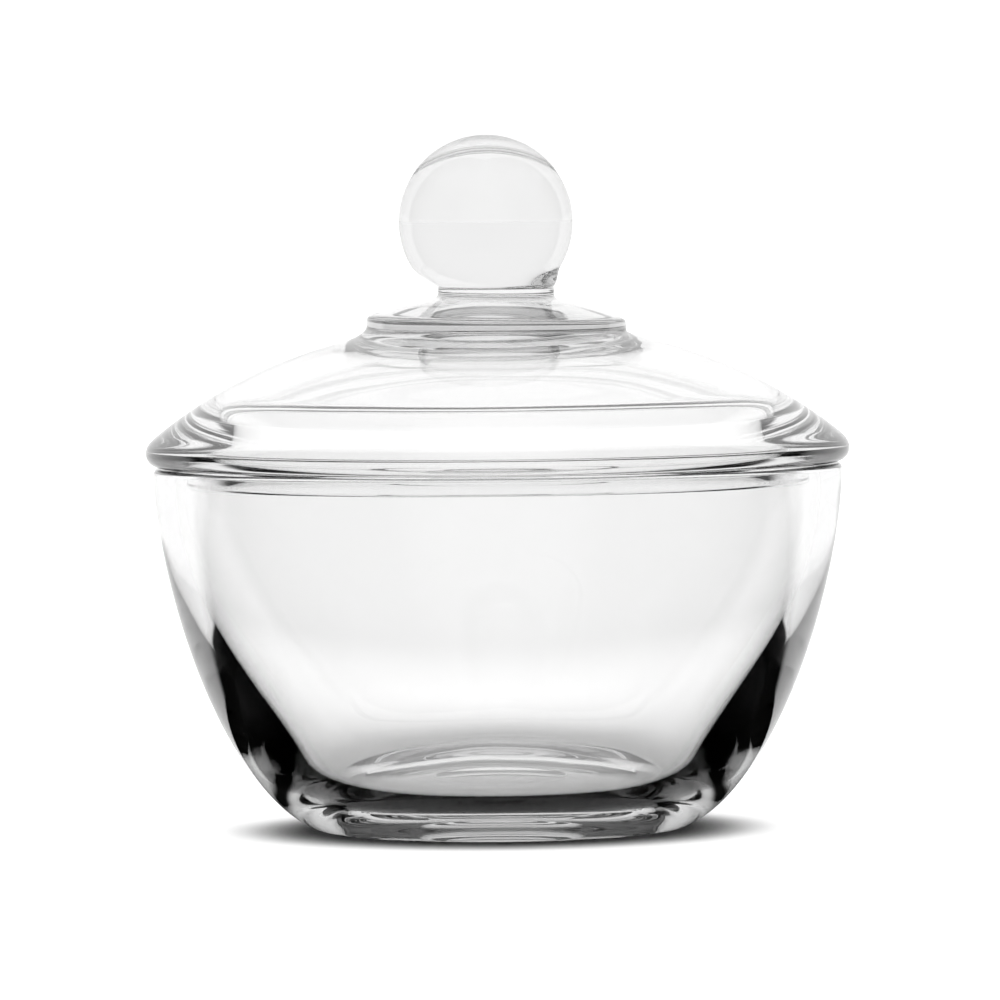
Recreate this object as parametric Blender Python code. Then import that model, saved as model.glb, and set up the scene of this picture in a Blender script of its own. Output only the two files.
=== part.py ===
"""Covered bowl of clear pressed glass: a thick-based bowl and a loose domed lid with a ball knob.

Both pieces are turned about the Z axis. Z = 0 is the surface that the foot ring rests on, and +Z
points up through the knob. Each outline is a list of (radius, height) points that starts and ends
on the axis, so turning it gives one closed body.
"""

import math

import bmesh
import bpy

# ---- Bowl, metres ----
BOWL_HEIGHT = 0.0570  # top of the rim
BOWL_RIM_R = 0.0539  # outside of the rim
WALL_RIM = 0.0034  # wall thickness at the rim
RIM_ROUND = 0.0007  # rounding of both rim edges
HEEL_R, HEEL_Z = 0.0398, 0.0101  # where the wall turns into the heel
WALL_LEAN_R, WALL_LEAN_Z = 0.0490, 0.0235  # steers the wall above the heel
FOOT_OUT_R = 0.0275  # foot ring, outside
FOOT_IN_R = 0.0225  # foot ring, inside
PUNT_RISE = 0.0012  # hollow of the underside at its centre
PUNT_DISC_R = 0.0095  # small flat disc in the middle of the hollow
FLOOR_Z = 0.0070  # inside floor
FLOOR_R = 0.0200  # flat part of the inside floor
TURN_R, TURN_Z = 0.03448, 0.01404  # where the inside wall turns into the floor

# ---- Lid, metres ----
GAP = 0.0003  # clearance under the lid's seat
SEAT_R = 0.0534  # outside of the flat that rests on the rim
SKIRT_TOP_R = 0.0494  # locating skirt, outside, at the seat
SKIRT_TIP_R = 0.0488  # locating skirt, outside, at its lower edge
SKIRT_DROP = 0.0031  # length of the skirt below the seat
SKIRT_IN_R = 0.0462  # inside of the skirt
SHOULDER_R = 0.0444  # where the inside wall turns into the inner dome
SHOULDER_ROUND = 0.0040
NOSE_R, NOSE_Z = 0.0551, 0.0592  # widest edge of the lid
DOME_AXIS_R, DOME_AXIS_Z = 0.0064, 0.0036  # centre of the dome's arc
DOME_OUT_RADIUS = 0.0750
DOME_THICK = 0.0038
COVE_R = 0.0262  # where the dome meets the cove below the collar
COLLAR_R = 0.0204
COLLAR_LOW_Z, COLLAR_TOP_Z = 0.0783, 0.0801
CONE_TOP_R, CONE_TOP_Z = 0.0104, 0.0829
NECK_R = 0.0091
BALL_R = 0.01365
BALL_Z = 0.0951

# ---- Hand-finished knob: it stands a little to one side and its collar dips ----
KNOB_SHIFT = -0.0015  # along X
COLLAR_DIP = math.radians(1.2)  # +X side down
SEGMENTS = 64


def arc(centre, radius, start, end, count):
    """Points on an arc, with angles in degrees from +R towards +Z."""
    angles = [math.radians(start + (end - start) * i / count) for i in range(count + 1)]
    return [(centre[0] + radius * math.cos(a), centre[1] + radius * math.sin(a)) for a in angles]


def curve(start, steer_a, steer_b, end, count):
    """Points on a cubic Bezier curve."""
    points = []
    for i in range(count + 1):
        t = i / count
        weights = ((1 - t) ** 3, 3 * t * (1 - t) ** 2, 3 * t * t * (1 - t), t**3)
        points.append(
            tuple(
                sum(w * p[axis] for w, p in zip(weights, (start, steer_a, steer_b, end)))
                for axis in (0, 1)
            )
        )
    return points


def bowl_outline():
    rim_low = BOWL_HEIGHT - RIM_ROUND
    rim_in = BOWL_RIM_R - WALL_RIM
    heel = (HEEL_R, HEEL_Z)
    under = [(0.0, PUNT_RISE), (PUNT_DISC_R, PUNT_RISE)]
    under += curve(
        (PUNT_DISC_R + 0.0006, PUNT_RISE - 0.0003),
        (0.0150, 0.0009),
        (0.0190, 0.0004),
        (FOOT_IN_R, 0.0),
        5,
    )
    foot = curve((FOOT_OUT_R, 0.0), (0.0298, 0.0), (0.0349, 0.0029), heel, 8)
    wall = curve(heel, (WALL_LEAN_R, WALL_LEAN_Z), (BOWL_RIM_R, 0.0456), (BOWL_RIM_R, rim_low), 12)
    rim = arc((BOWL_RIM_R - RIM_ROUND, rim_low), RIM_ROUND, 0, 90, 3)
    rim += arc((rim_in + RIM_ROUND, rim_low), RIM_ROUND, 90, 180, 3)
    turn_in = (TURN_R, TURN_Z)
    inside = curve((rim_in, rim_low), (rim_in, 0.03973), (0.04348, 0.02593), turn_in, 10)
    floor = curve(turn_in, (0.02965, 0.00766), (0.0265, FLOOR_Z), (FLOOR_R, FLOOR_Z), 7)
    return under + foot + wall[1:] + rim[1:] + inside[1:] + floor[1:] + [(0.0, FLOOR_Z)]


def dome_point(radius, r):
    return r, DOME_AXIS_Z + math.sqrt(radius**2 - (r - DOME_AXIS_R) ** 2)


def dome_run(radius, r_start, r_end, count):
    """Points along one of the dome's two arcs, from one distance off the axis to another."""
    rows = range(count + 1)
    return [dome_point(radius, r_start + (r_end - r_start) * i / count) for i in rows]


def lid_outline():
    seat_z = BOWL_HEIGHT + GAP
    ball_low = math.degrees(math.asin(-(math.sqrt(BALL_R**2 - NECK_R**2)) / BALL_R))
    knob = arc((0.0, BALL_Z), BALL_R, 90, ball_low, 14)
    knob[0] = (0.0, BALL_Z + BALL_R)
    knob += curve((NECK_R, 0.0845), (NECK_R, 0.0836), (NECK_R, 0.0831), (CONE_TOP_R, CONE_TOP_Z), 3)
    collar = curve((0.0185, 0.0807), (0.0198, 0.0804), (0.0202, COLLAR_TOP_Z), (0.0203, 0.0796), 3)
    cove = curve(
        (COLLAR_R, COLLAR_LOW_Z),
        (0.0208, 0.0775),
        (0.0230, 0.0769),
        dome_point(DOME_OUT_RADIUS, COVE_R),
        4,
    )
    dome = dome_run(DOME_OUT_RADIUS, COVE_R, 0.0527, 10)
    nose = curve(dome[-1], (0.0540, 0.0615), (NOSE_R + 0.0001, 0.0608), (NOSE_R, NOSE_Z), 4)
    lip = curve((NOSE_R, NOSE_Z), (0.0551, 0.0585), (0.0545, 0.0575), (SEAT_R, seat_z), 4)
    tip_z = seat_z - SKIRT_DROP
    skirt = [(SKIRT_TOP_R, seat_z)]
    skirt += [(SKIRT_TIP_R, tip_z + 0.0008), (SKIRT_TIP_R - 0.0008, tip_z)]
    skirt += [(SKIRT_IN_R + 0.0008, tip_z), (SKIRT_IN_R, tip_z + 0.0008)]
    inner_radius = DOME_OUT_RADIUS - DOME_THICK
    shoulder = curve(
        (SHOULDER_R + 0.0008, 0.0615),
        (SHOULDER_R, 0.0632),
        (SHOULDER_R - 0.0009, 0.0645),
        dome_point(inner_radius, SHOULDER_R - SHOULDER_ROUND),
        4,
    )
    inner = dome_run(inner_radius, SHOULDER_R - SHOULDER_ROUND, DOME_AXIS_R, 9)
    outside = knob + collar + cove + dome[1:] + nose[1:] + lip[1:]
    return outside + skirt + shoulder + inner[1:] + [(0.0, inner[-1][1])]


def ease(value, low, high):
    """0 below low, 1 above high, and a smooth step between."""
    t = min(max((value - low) / (high - low), 0.0), 1.0)
    return t * t * (3 - 2 * t)


def lean_knob(x, y, z):
    """Moves the ball to one side of its neck and dips the collar, leaving the rest as turned."""
    shift = KNOB_SHIFT * ease(z, 0.0845, 0.0880)
    dip = ease(z, 0.0770, 0.0785) * (1 - ease(z, 0.0835, 0.0860))
    return x + shift, y, z - x * math.tan(COLLAR_DIP) * dip


def keep(x, y, z):
    return x, y, z


def turn(name, outline, material, adjust):
    """Turns an outline about Z into one closed mesh object."""
    mesh = bpy.data.meshes.new(name)
    bm = bmesh.new()
    rings = []
    for r, z in outline:
        count = SEGMENTS if r > 0 else 1
        ring = []
        for i in range(count):
            angle = 2 * math.pi * i / SEGMENTS
            ring.append(bm.verts.new(adjust(r * math.cos(angle), r * math.sin(angle), z)))
        rings.append(ring)
    for upper, lower in zip(rings, rings[1:]):
        for i in range(SEGMENTS):
            j = (i + 1) % SEGMENTS
            corners = [upper[i % len(upper)], upper[j % len(upper)]]
            corners += [lower[j % len(lower)], lower[i % len(lower)]]
            bm.faces.new(list(dict.fromkeys(corners)))
    bmesh.ops.recalc_face_normals(bm, faces=bm.faces)
    for face in bm.faces:
        face.smooth = True
    bm.to_mesh(mesh)
    bm.free()
    mesh.materials.append(material)
    bpy.context.scene.collection.objects.link(bpy.data.objects.new(name, mesh))


def glass(name):
    material = bpy.data.materials.new(name)
    material.use_nodes = True
    shader = material.node_tree.nodes["Principled BSDF"]
    shader.inputs["Base Color"].default_value = (0.97, 0.98, 0.98, 1.0)
    shader.inputs["Roughness"].default_value = 0.02
    shader.inputs["IOR"].default_value = 1.52
    shader.inputs["Transmission Weight"].default_value = 1.0
    return material


for old in list(bpy.data.objects):
    bpy.data.objects.remove(old)
turn("bowl", bowl_outline(), glass("bowl_glass"), keep)
turn("lid", lid_outline(), glass("lid_glass"), lean_knob)
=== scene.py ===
"""Looks for the covered glass bowl: fine glass meshes, a pale floor, studio light and the camera.

Every length is in metres, in the frame of the CAD part: Z = 0 under the foot ring, +Z up.
"""

import math

import bmesh
import bpy
from mathutils import Matrix, Vector


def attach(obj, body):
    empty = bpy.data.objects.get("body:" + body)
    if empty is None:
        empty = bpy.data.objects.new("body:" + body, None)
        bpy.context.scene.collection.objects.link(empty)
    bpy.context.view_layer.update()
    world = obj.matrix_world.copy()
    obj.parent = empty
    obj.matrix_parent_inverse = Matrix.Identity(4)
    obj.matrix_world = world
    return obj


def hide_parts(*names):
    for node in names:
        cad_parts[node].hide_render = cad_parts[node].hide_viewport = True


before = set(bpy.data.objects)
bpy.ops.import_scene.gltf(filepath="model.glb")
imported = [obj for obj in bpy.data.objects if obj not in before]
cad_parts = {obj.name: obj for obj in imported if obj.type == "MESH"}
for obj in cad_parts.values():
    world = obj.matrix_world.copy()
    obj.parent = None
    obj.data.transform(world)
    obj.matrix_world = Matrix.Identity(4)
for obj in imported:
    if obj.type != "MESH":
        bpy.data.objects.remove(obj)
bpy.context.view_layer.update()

# ---- Bowl: sizes, and places as (radius, height) ----
BOWL_HEIGHT = 0.0570
BOWL_RIM_R = 0.0539
WALL_RIM = 0.0034  # wall thickness at the rim
RIM_ROUND = 0.0007
HEEL = (0.0398, 0.0101)  # where the wall turns into the heel
WALL_LEAN = (0.0490, 0.0235)  # steers the wall above the heel
FOOT_OUT_R = 0.0275
FOOT_IN_R = 0.0225
PUNT_RISE = 0.0012  # hollow of the underside
PUNT_DISC_R = 0.0095
TURN = (0.03448, 0.01404)  # where the inside wall turns into the inside floor
INSIDE_HIGH_Z = 0.03973  # steers the inside wall below the rim
INSIDE_LOW = (0.04348, 0.02593)  # steers the inside wall above the turn
FLOOR_Z = 0.0070  # inside floor
FLOOR_R = 0.0200  # flat part of the inside floor
FLOOR_STEER = (0.02965, 0.00766)
FLOOR_STEER_R = 0.0265

# ---- Lid ----
GAP = 0.0003  # clearance under the seat
SEAT_R = 0.0534
SKIRT_TOP_R = 0.0494
SKIRT_TIP_R = 0.0488
SKIRT_DROP = 0.0031
SKIRT_IN_R = 0.0462
SHOULDER_R = 0.0444  # where the inside wall turns into the inner dome
SHOULDER_ROUND = 0.0040
NOSE = (0.0551, 0.0592)  # widest edge
DOME_AXIS = (0.0064, 0.0036)  # centre of the dome's arcs
DOME_OUT_RADIUS = 0.0750
DOME_THICK = 0.0038
DOME_EDGE_R = 0.0527  # where the dome turns into the nose
COVE_R = 0.0262  # where the dome meets the cove below the collar
COLLAR_R = 0.0204
COLLAR_LOW_Z, COLLAR_TOP_Z = 0.0783, 0.0801
CONE_TOP = (0.0104, 0.0829)
NECK_R = 0.0091
BALL_R = 0.01365
BALL_Z = 0.0951
KNOB_SHIFT = -0.0015  # the ball stands to one side, along X
COLLAR_DIP = math.radians(1.2)  # +X side down

SEGMENTS = 160  # round the axis
FINE = 4  # rows per stretch of an outline, against the CAD's one


def arc(centre, radius, start, end, count):
    """Points on an arc, with angles in degrees from +R towards +Z."""
    angles = [math.radians(start + (end - start) * i / count) for i in range(count + 1)]
    return [(centre[0] + radius * math.cos(a), centre[1] + radius * math.sin(a)) for a in angles]


def curve(start, steer_a, steer_b, end, count):
    """Points on a cubic Bezier curve."""
    points = []
    for i in range(count + 1):
        t = i / count
        weights = ((1 - t) ** 3, 3 * t * (1 - t) ** 2, 3 * t * t * (1 - t), t**3)
        points.append(
            tuple(
                sum(w * p[axis] for w, p in zip(weights, (start, steer_a, steer_b, end)))
                for axis in (0, 1)
            )
        )
    return points


def bowl_outline():
    """(radius, height) points from the middle of the underside, up the wall and down the inside."""
    rim_low = BOWL_HEIGHT - RIM_ROUND
    rim_in = BOWL_RIM_R - WALL_RIM
    under = [(0.0, PUNT_RISE), (PUNT_DISC_R, PUNT_RISE)]
    under += curve(
        (PUNT_DISC_R + 0.0006, PUNT_RISE - 0.0003),
        (0.0150, 0.0009),
        (0.0190, 0.0004),
        (FOOT_IN_R, 0.0),
        5 * FINE,
    )
    foot = curve((FOOT_OUT_R, 0.0), (0.0298, 0.0), (0.0349, 0.0029), HEEL, 8 * FINE)
    wall = curve(HEEL, WALL_LEAN, (BOWL_RIM_R, 0.0456), (BOWL_RIM_R, rim_low), 12 * FINE)
    rim = arc((BOWL_RIM_R - RIM_ROUND, rim_low), RIM_ROUND, 0, 90, 3 * FINE)
    rim += arc((rim_in + RIM_ROUND, rim_low), RIM_ROUND, 90, 180, 3 * FINE)
    inside = curve((rim_in, rim_low), (rim_in, INSIDE_HIGH_Z), INSIDE_LOW, TURN, 10 * FINE)
    floor = curve(TURN, FLOOR_STEER, (FLOOR_STEER_R, FLOOR_Z), (FLOOR_R, FLOOR_Z), 6 * FINE)
    return under + foot + wall[1:] + rim[1:] + inside[1:] + floor[1:] + [(0.0, FLOOR_Z)]


def dome_point(radius, r):
    return r, DOME_AXIS[1] + math.sqrt(radius**2 - (r - DOME_AXIS[0]) ** 2)


def dome_run(radius, r_start, r_end, count):
    """Points along one of the dome's two arcs, from one distance off the axis to another."""
    rows = range(count + 1)
    return [dome_point(radius, r_start + (r_end - r_start) * i / count) for i in rows]


def lid_outline():
    """(radius, height) points from the top of the ball, out over the dome and back inside."""
    seat_z = BOWL_HEIGHT + GAP
    ball_low = math.degrees(math.asin(-(math.sqrt(BALL_R**2 - NECK_R**2)) / BALL_R))
    knob = arc((0.0, BALL_Z), BALL_R, 90, ball_low, 14 * FINE)
    knob[0] = (0.0, BALL_Z + BALL_R)
    knob += curve((NECK_R, 0.0845), (NECK_R, 0.0836), (NECK_R, 0.0831), CONE_TOP, 3 * FINE)
    collar = curve((0.0185, 0.0807), (0.0198, 0.0804), (0.0202, COLLAR_TOP_Z), (0.0203, 0.0796), 3 * FINE)
    cove = curve(
        (COLLAR_R, COLLAR_LOW_Z),
        (0.0208, 0.0775),
        (0.0230, 0.0769),
        dome_point(DOME_OUT_RADIUS, COVE_R),
        4 * FINE,
    )
    dome = dome_run(DOME_OUT_RADIUS, COVE_R, DOME_EDGE_R, 10 * FINE)
    nose = curve(dome[-1], (0.0540, 0.0615), (NOSE[0] + 0.0001, 0.0608), NOSE, 4 * FINE)
    lip = curve(NOSE, (0.0551, 0.0585), (0.0545, 0.0575), (SEAT_R, seat_z), 4 * FINE)
    tip_z = seat_z - SKIRT_DROP
    skirt = [(SKIRT_TOP_R, seat_z)]
    skirt += curve(
        (SKIRT_TIP_R, tip_z + 0.0008),
        (SKIRT_TIP_R, tip_z + 0.0003),
        (SKIRT_TIP_R - 0.0003, tip_z),
        (SKIRT_TIP_R - 0.0008, tip_z),
        FINE,
    )
    skirt += curve(
        (SKIRT_IN_R + 0.0008, tip_z),
        (SKIRT_IN_R + 0.0003, tip_z),
        (SKIRT_IN_R, tip_z + 0.0003),
        (SKIRT_IN_R, tip_z + 0.0008),
        FINE,
    )
    inner_radius = DOME_OUT_RADIUS - DOME_THICK
    shoulder = curve(
        (SHOULDER_R + 0.0008, 0.0615),
        (SHOULDER_R, 0.0632),
        (SHOULDER_R - 0.0009, 0.0645),
        dome_point(inner_radius, SHOULDER_R - SHOULDER_ROUND),
        4 * FINE,
    )
    inner = dome_run(inner_radius, SHOULDER_R - SHOULDER_ROUND, DOME_AXIS[0], 9 * FINE)
    outside = knob + collar + cove + dome[1:] + nose[1:] + lip[1:]
    return outside + skirt + shoulder + inner[1:] + [(0.0, inner[-1][1])]


def ease(value, low, high):
    """0 below low, 1 above high, and a smooth step between."""
    t = min(max((value - low) / (high - low), 0.0), 1.0)
    return t * t * (3 - 2 * t)


def lean_knob(x, y, z):
    """Moves the ball to one side of its neck and dips the collar, leaving the rest as turned."""
    shift = KNOB_SHIFT * ease(z, 0.0845, 0.0880)
    dip = ease(z, 0.0770, 0.0785) * (1 - ease(z, 0.0835, 0.0860))
    return x + shift, y, z - x * math.tan(COLLAR_DIP) * dip


def keep(x, y, z):
    return x, y, z


def turn(name, outline, material, adjust):
    """Turns an outline about Z into one closed mesh object."""
    mesh = bpy.data.meshes.new(name)
    bm = bmesh.new()
    rings = []
    for r, z in outline:
        count = SEGMENTS if r > 0 else 1
        ring = []
        for i in range(count):
            angle = 2 * math.pi * i / SEGMENTS
            ring.append(bm.verts.new(adjust(r * math.cos(angle), r * math.sin(angle), z)))
        rings.append(ring)
    for upper, lower in zip(rings, rings[1:]):
        for i in range(SEGMENTS):
            j = (i + 1) % SEGMENTS
            corners = [upper[i % len(upper)], upper[j % len(upper)]]
            corners += [lower[j % len(lower)], lower[i % len(lower)]]
            bm.faces.new(list(dict.fromkeys(corners)))
    bmesh.ops.recalc_face_normals(bm, faces=bm.faces)
    for face in bm.faces:
        face.smooth = True
    bm.to_mesh(mesh)
    bm.free()
    mesh.materials.append(material)
    piece = bpy.data.objects.new(name, mesh)
    bpy.context.scene.collection.objects.link(piece)
    return piece


# ---- Glass ----
CLEAR = 0.99  # tint of the light that passes a surface
GLASS_IOR = 1.52
WAVE_SCALE, WAVE_DEPTH = 55.0, 0.00006
SMUDGE_SCALE, SMUDGE_ROUGH = 160.0, 0.02
DEPTH_TONE, DEPTH_DENSITY = 0.50, 12.0  # slight grey in the depth of the glass


class Nodes:
    """Short ways to add and join shader nodes."""

    def __init__(self, tree):
        self.tree = tree

    def add(self, kind, inputs=None, **settings):
        node = self.tree.nodes.new(kind)
        for key, value in settings.items():
            setattr(node, key, value)
        for key, value in (inputs or {}).items():
            if isinstance(value, bpy.types.NodeSocket):
                self.tree.links.new(value, node.inputs[key])
            else:
                node.inputs[key].default_value = value
        return node

    def ramp(self, value, low, high, to_low, to_high):
        node = self.add(
            "ShaderNodeMapRange",
            {
                "Value": value,
                "From Min": low,
                "From Max": high,
                "To Min": to_low,
                "To Max": to_high,
            },
            interpolation_type="SMOOTHSTEP",
        )
        return node.outputs["Result"]

    def maths(self, operation, a, b=0.0):
        return self.add("ShaderNodeMath", {0: a, 1: b}, operation=operation).outputs[0]


def pressed_glass(name):
    """Clear glass: gentle waves of the mould surface, fine wipe marks and a slight grey in the depth."""
    material = bpy.data.materials.new(name)
    material.use_nodes = True
    nodes = Nodes(material.node_tree)
    shader = material.node_tree.nodes["Principled BSDF"]
    shader.inputs["Base Color"].default_value = (CLEAR, CLEAR, CLEAR, 1.0)
    shader.inputs["IOR"].default_value = GLASS_IOR
    shader.inputs["Transmission Weight"].default_value = 1.0
    place = nodes.add("ShaderNodeTexCoord").outputs["Object"]
    waves = nodes.add(
        "ShaderNodeTexNoise", {"Vector": place, "Scale": WAVE_SCALE, "Detail": 1.0, "Roughness": 0.4}
    ).outputs["Fac"]
    bump = nodes.add("ShaderNodeBump", {"Height": waves, "Strength": 1.0, "Distance": WAVE_DEPTH})
    material.node_tree.links.new(bump.outputs["Normal"], shader.inputs["Normal"])
    smudge = nodes.add(
        "ShaderNodeTexNoise",
        {"Vector": place, "Scale": SMUDGE_SCALE, "Detail": 4.0, "Roughness": 0.6},
    ).outputs["Fac"]
    rough = nodes.ramp(smudge, 0.45, 0.75, 0.0, SMUDGE_ROUGH)
    material.node_tree.links.new(rough, shader.inputs["Roughness"])
    depth = {"Color": (DEPTH_TONE, DEPTH_TONE, DEPTH_TONE, 1.0), "Density": DEPTH_DENSITY}
    absorb = nodes.add("ShaderNodeVolumeAbsorption", depth)
    output = material.node_tree.nodes["Material Output"]
    material.node_tree.links.new(absorb.outputs["Volume"], output.inputs["Volume"])
    return material


bowl = turn("bowl_glass_body", bowl_outline(), pressed_glass("bowl_glass"), keep)
lid = turn("lid_glass_body", lid_outline(), pressed_glass("lid_glass"), lean_knob)
for piece, node in ((bowl, "bowl"), (lid, "lid")):
    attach(piece, node)
    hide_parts(node)

# ---- Stage: a pale floor with painted shade, a bright backdrop, a top light and dark sides ----
# The stage tells rays apart, so that the background stays white and the glass still gets its dark zones.
BACKDROP, TOP, FRONT, DARK = 1.10, 1.12, 0.45, 0.008  # brightness
BACK_EDGE, FRONT_EDGE = (0.44, 0.62), (-0.97, -0.70)  # how far a direction points to the back
TOP_EDGE = (0.45, 0.80)  # how far a direction points up
TOP_TURNED = 0.25  # share of the top light that is left for turned light
TOP_FOR_FLOOR = 2.4  # brightness of the top light where it lights the floor

FLOOR_SIZE = 30.0
FLOOR_DROP = 0.0001  # below the foot ring
PAPER_SEEN = 0.95  # tone as the camera sees it
PAINTED_LIGHT_CLOSE, PAINTED_SHADE_FAR = 0.92, 0.65  # painted tone for every other ray: painted light close to the object against its own shadow there, painted shade far off
PAINTED_TONE_FADE = (0.050, 0.140)  # distances from the axis
# painted contact shadow, darkening the floor's colour under the object
CONTACT_REACH, CONTACT_DARK = 0.012, 0.94
CONTACT_OPEN = (0.10, 0.80)  # openness where the contact shadow is full, and where it ends
THROUGH_CONTACT = 0.15  # share of it that is left, seen through the glass
# painted shade on the floor beside the object, seen only by light that comes by way of the glass
NEAR_FADE = (0.10, 0.13)
SIDE_EDGE = (0.40, 0.50)
SIDE_WIDER, WIDER_FADE = 0.28, (0.075, 0.095)  # the painted shade on the floor's sides spreads close to the object


def flat_direction(nodes, vector):
    """How far a direction or place points to the back, 1 to -1, its distance from the axis, and its z."""
    split = nodes.add("ShaderNodeSeparateXYZ", {"Vector": vector})
    x, y, z = (split.outputs[k] for k in "XYZ")
    squares = nodes.maths("ADD", nodes.maths("MULTIPLY", x, x), nodes.maths("MULTIPLY", y, y))
    radius = nodes.maths("SQRT", squares)
    return nodes.maths("DIVIDE", y, nodes.maths("MAXIMUM", radius, 0.0001)), radius, z


def ray_kinds(nodes):
    """Three switches, 0 or 1, for the light that the camera gets by way of the glass.

    turned: some glass reflected it. through: it only passed through. solid: it passed one run of glass.
    """
    path = nodes.add("ShaderNodeLightPath")
    bounced = nodes.maths("GREATER_THAN", path.outputs["Glossy Depth"], 0.5)
    direct = nodes.maths("LESS_THAN", path.outputs["Diffuse Depth"], 0.5)
    turned = nodes.maths("MULTIPLY", bounced, direct)
    through = nodes.maths("GREATER_THAN", path.outputs["Transmission Depth"], 0.5)
    through = nodes.maths("MULTIPLY", through, nodes.maths("SUBTRACT", 1.0, turned))
    solid = nodes.maths("LESS_THAN", path.outputs["Transmission Depth"], 2.5)
    return turned, through, nodes.maths("MULTIPLY", solid, through)


def painted_side_shade(nodes, facing, radius, turned, solid):
    """Painted shade beside the object: how much of the floor's colour is darkened there for turned light,
    and near it for solid.
    """
    near = nodes.maths("MULTIPLY", solid, nodes.ramp(radius, *NEAR_FADE, 1.0, 0.0))
    wider = nodes.ramp(radius, *WIDER_FADE, SIDE_WIDER, 0.0)
    beside = nodes.ramp(nodes.maths("SUBTRACT", facing, wider), *SIDE_EDGE, 1.0, 0.0)
    return nodes.maths("MULTIPLY", beside, nodes.maths("MAXIMUM", turned, near))


def contact_shadow(nodes, through):
    """Painted contact shadow: how much of the floor's colour is darkened where the object stands close
    over it.
    """
    openness = nodes.add("ShaderNodeAmbientOcclusion", {"Distance": CONTACT_REACH}, samples=8)
    shadow = nodes.ramp(openness.outputs["AO"], *CONTACT_OPEN, CONTACT_DARK, 0.0)
    return nodes.maths("MULTIPLY", shadow, nodes.ramp(through, 0.0, 1.0, 1.0, THROUGH_CONTACT))


def paper_and_painted_shade():
    paper = bpy.data.materials.new("paper_and_painted_shade")
    paper.use_nodes = True
    nodes = Nodes(paper.node_tree)
    shader = paper.node_tree.nodes["Principled BSDF"]
    shader.inputs["Roughness"].default_value = 0.9
    shader.inputs["Specular IOR Level"].default_value = 0.0
    place = nodes.add("ShaderNodeNewGeometry").outputs["Position"]
    facing, radius, _ = flat_direction(nodes, place)
    turned, through, solid = ray_kinds(nodes)
    seen = nodes.add("ShaderNodeLightPath").outputs["Is Camera Ray"]
    # painted light and shade: rays other than the camera's see the floor painted lighter near the object
    # and darker far from it
    painted_ray_tone = nodes.ramp(radius, *PAINTED_TONE_FADE, PAINTED_LIGHT_CLOSE, PAINTED_SHADE_FAR)
    tone = nodes.ramp(seen, 0.0, 1.0, painted_ray_tone, PAPER_SEEN)
    # the painted contact shadow and the painted shade beside the object darken the floor's colour
    for lost in (contact_shadow(nodes, through), painted_side_shade(nodes, facing, radius, turned, solid)):
        tone = nodes.maths("MULTIPLY", tone, nodes.maths("SUBTRACT", 1.0, lost))
    grey = nodes.add("ShaderNodeCombineColor", {"Red": tone, "Green": tone, "Blue": tone})
    paper.node_tree.links.new(grey.outputs["Color"], shader.inputs["Base Color"])
    return paper


def make_floor():
    half = FLOOR_SIZE / 2
    corners = [(-half, -half, 0), (half, -half, 0), (half, half, 0), (-half, half, 0)]
    mesh = bpy.data.meshes.new("floor")
    mesh.from_pydata(corners, [], [(0, 1, 2, 3)])
    mesh.materials.append(paper_and_painted_shade())
    floor = bpy.data.objects.new("floor", mesh)
    floor.location.z = -FLOOR_DROP
    bpy.context.scene.collection.objects.link(floor)


def make_world():
    world = bpy.data.worlds.new("studio")
    bpy.context.scene.world = world
    world.use_nodes = True
    tree = world.node_tree
    nodes = Nodes(tree)
    facing, _, z = flat_direction(nodes, nodes.add("ShaderNodeTexCoord").outputs["Generated"])
    turned, _, _ = ray_kinds(nodes)
    top = nodes.ramp(z, *TOP_EDGE, 0.0, TOP)
    back = nodes.ramp(facing, *BACK_EDGE, 0.0, BACKDROP)
    front = nodes.ramp(facing, *FRONT_EDGE, FRONT, 0.0)
    flagged = nodes.maths("MAXIMUM", back, nodes.maths("MULTIPLY", top, TOP_TURNED))
    flagged = nodes.maths("MAXIMUM", flagged, nodes.maths("MAXIMUM", front, DARK))
    depth = nodes.add("ShaderNodeLightPath").outputs["Diffuse Depth"]
    from_floor = nodes.maths("GREATER_THAN", depth, 0.5)
    top_light = nodes.ramp(from_floor, 0.0, 1.0, 1.0, TOP_FOR_FLOOR / TOP)
    open_sky = nodes.maths("MAXIMUM", nodes.maths("MULTIPLY", top, top_light), BACKDROP)
    light = nodes.add("ShaderNodeMix", {"Factor": turned, "A": open_sky, "B": flagged}).outputs[0]
    background = tree.nodes.get("Background") or nodes.add("ShaderNodeBackground")
    background.inputs["Color"].default_value = (1.0, 1.0, 1.0, 1.0)
    tree.links.new(light, background.inputs["Strength"])
    output = tree.nodes.get("World Output") or nodes.add("ShaderNodeOutputWorld")
    tree.links.new(background.outputs["Background"], output.inputs["Surface"])


make_floor()
make_world()

# ---- Camera ----
DISTANCE = 1.40
EYE_Z = 0.113
AIM = Vector((0.0003, 0.0, 0.0515))
VIEW_WIDTH = 0.1567  # at the aim
ROLL = math.radians(0.57)
SENSOR_WIDTH = 36.0  # millimetres
eye = Vector((0.0, -DISTANCE, EYE_Z))
camera_data = bpy.data.cameras.new("camera")
camera_data.sensor_width = SENSOR_WIDTH
camera_data.lens = SENSOR_WIDTH * (AIM - eye).length / VIEW_WIDTH
camera = bpy.data.objects.new("camera", camera_data)
bpy.context.scene.collection.objects.link(camera)
look = (AIM - eye).to_track_quat("-Z", "Y").to_matrix().to_4x4()
camera.matrix_world = Matrix.Translation(eye) @ look @ Matrix.Rotation(-ROLL, 4, "Z")
bpy.context.scene.camera = camera

scene = bpy.context.scene
scene.view_settings.view_transform = "Standard"
scene.cycles.max_bounces = 32
scene.cycles.transmission_bounces = 32
scene.cycles.glossy_bounces = 24
scene.cycles.diffuse_bounces = 3
